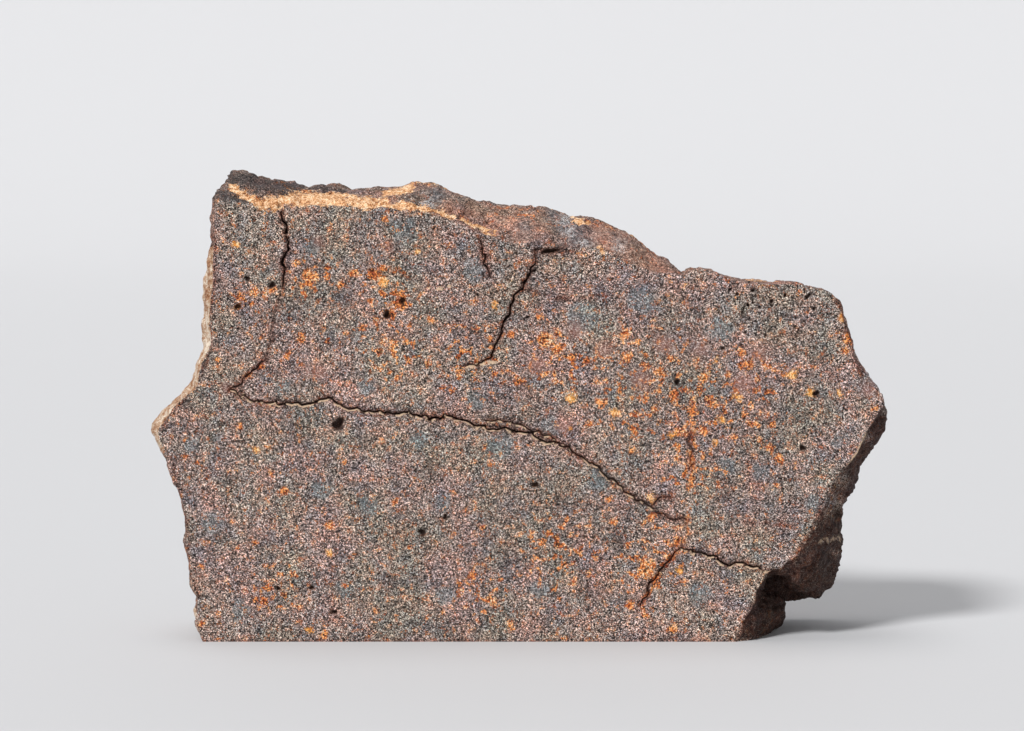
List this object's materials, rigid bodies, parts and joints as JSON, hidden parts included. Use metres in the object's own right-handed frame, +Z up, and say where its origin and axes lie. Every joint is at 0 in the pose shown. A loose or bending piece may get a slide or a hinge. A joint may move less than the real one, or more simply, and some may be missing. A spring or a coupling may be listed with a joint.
{
  "type": "olivine stone slice",
  "caption": "Thick sawn slice of olivine-rich stone with a flat cut face, cracks, small pits, a crusted left side and broken edges.",
  "frame": {"origin": "middle of the bounding box in X and Y, at the sawn underside", "axes": "+X along the slice to the right as seen from the sawn front face, +Y from the front face to the back face, +Z up"},
  "size_m": [0.092, 0.018, 0.0588],
  "materials": {
    "olivine_stone": "matt sawn stone, salt-and-pepper grain with rust-coloured spots"
  },
  "bodies": {
    "root": {"olivine_stone": "olivine_stone"}
  },
  "joints": []
}
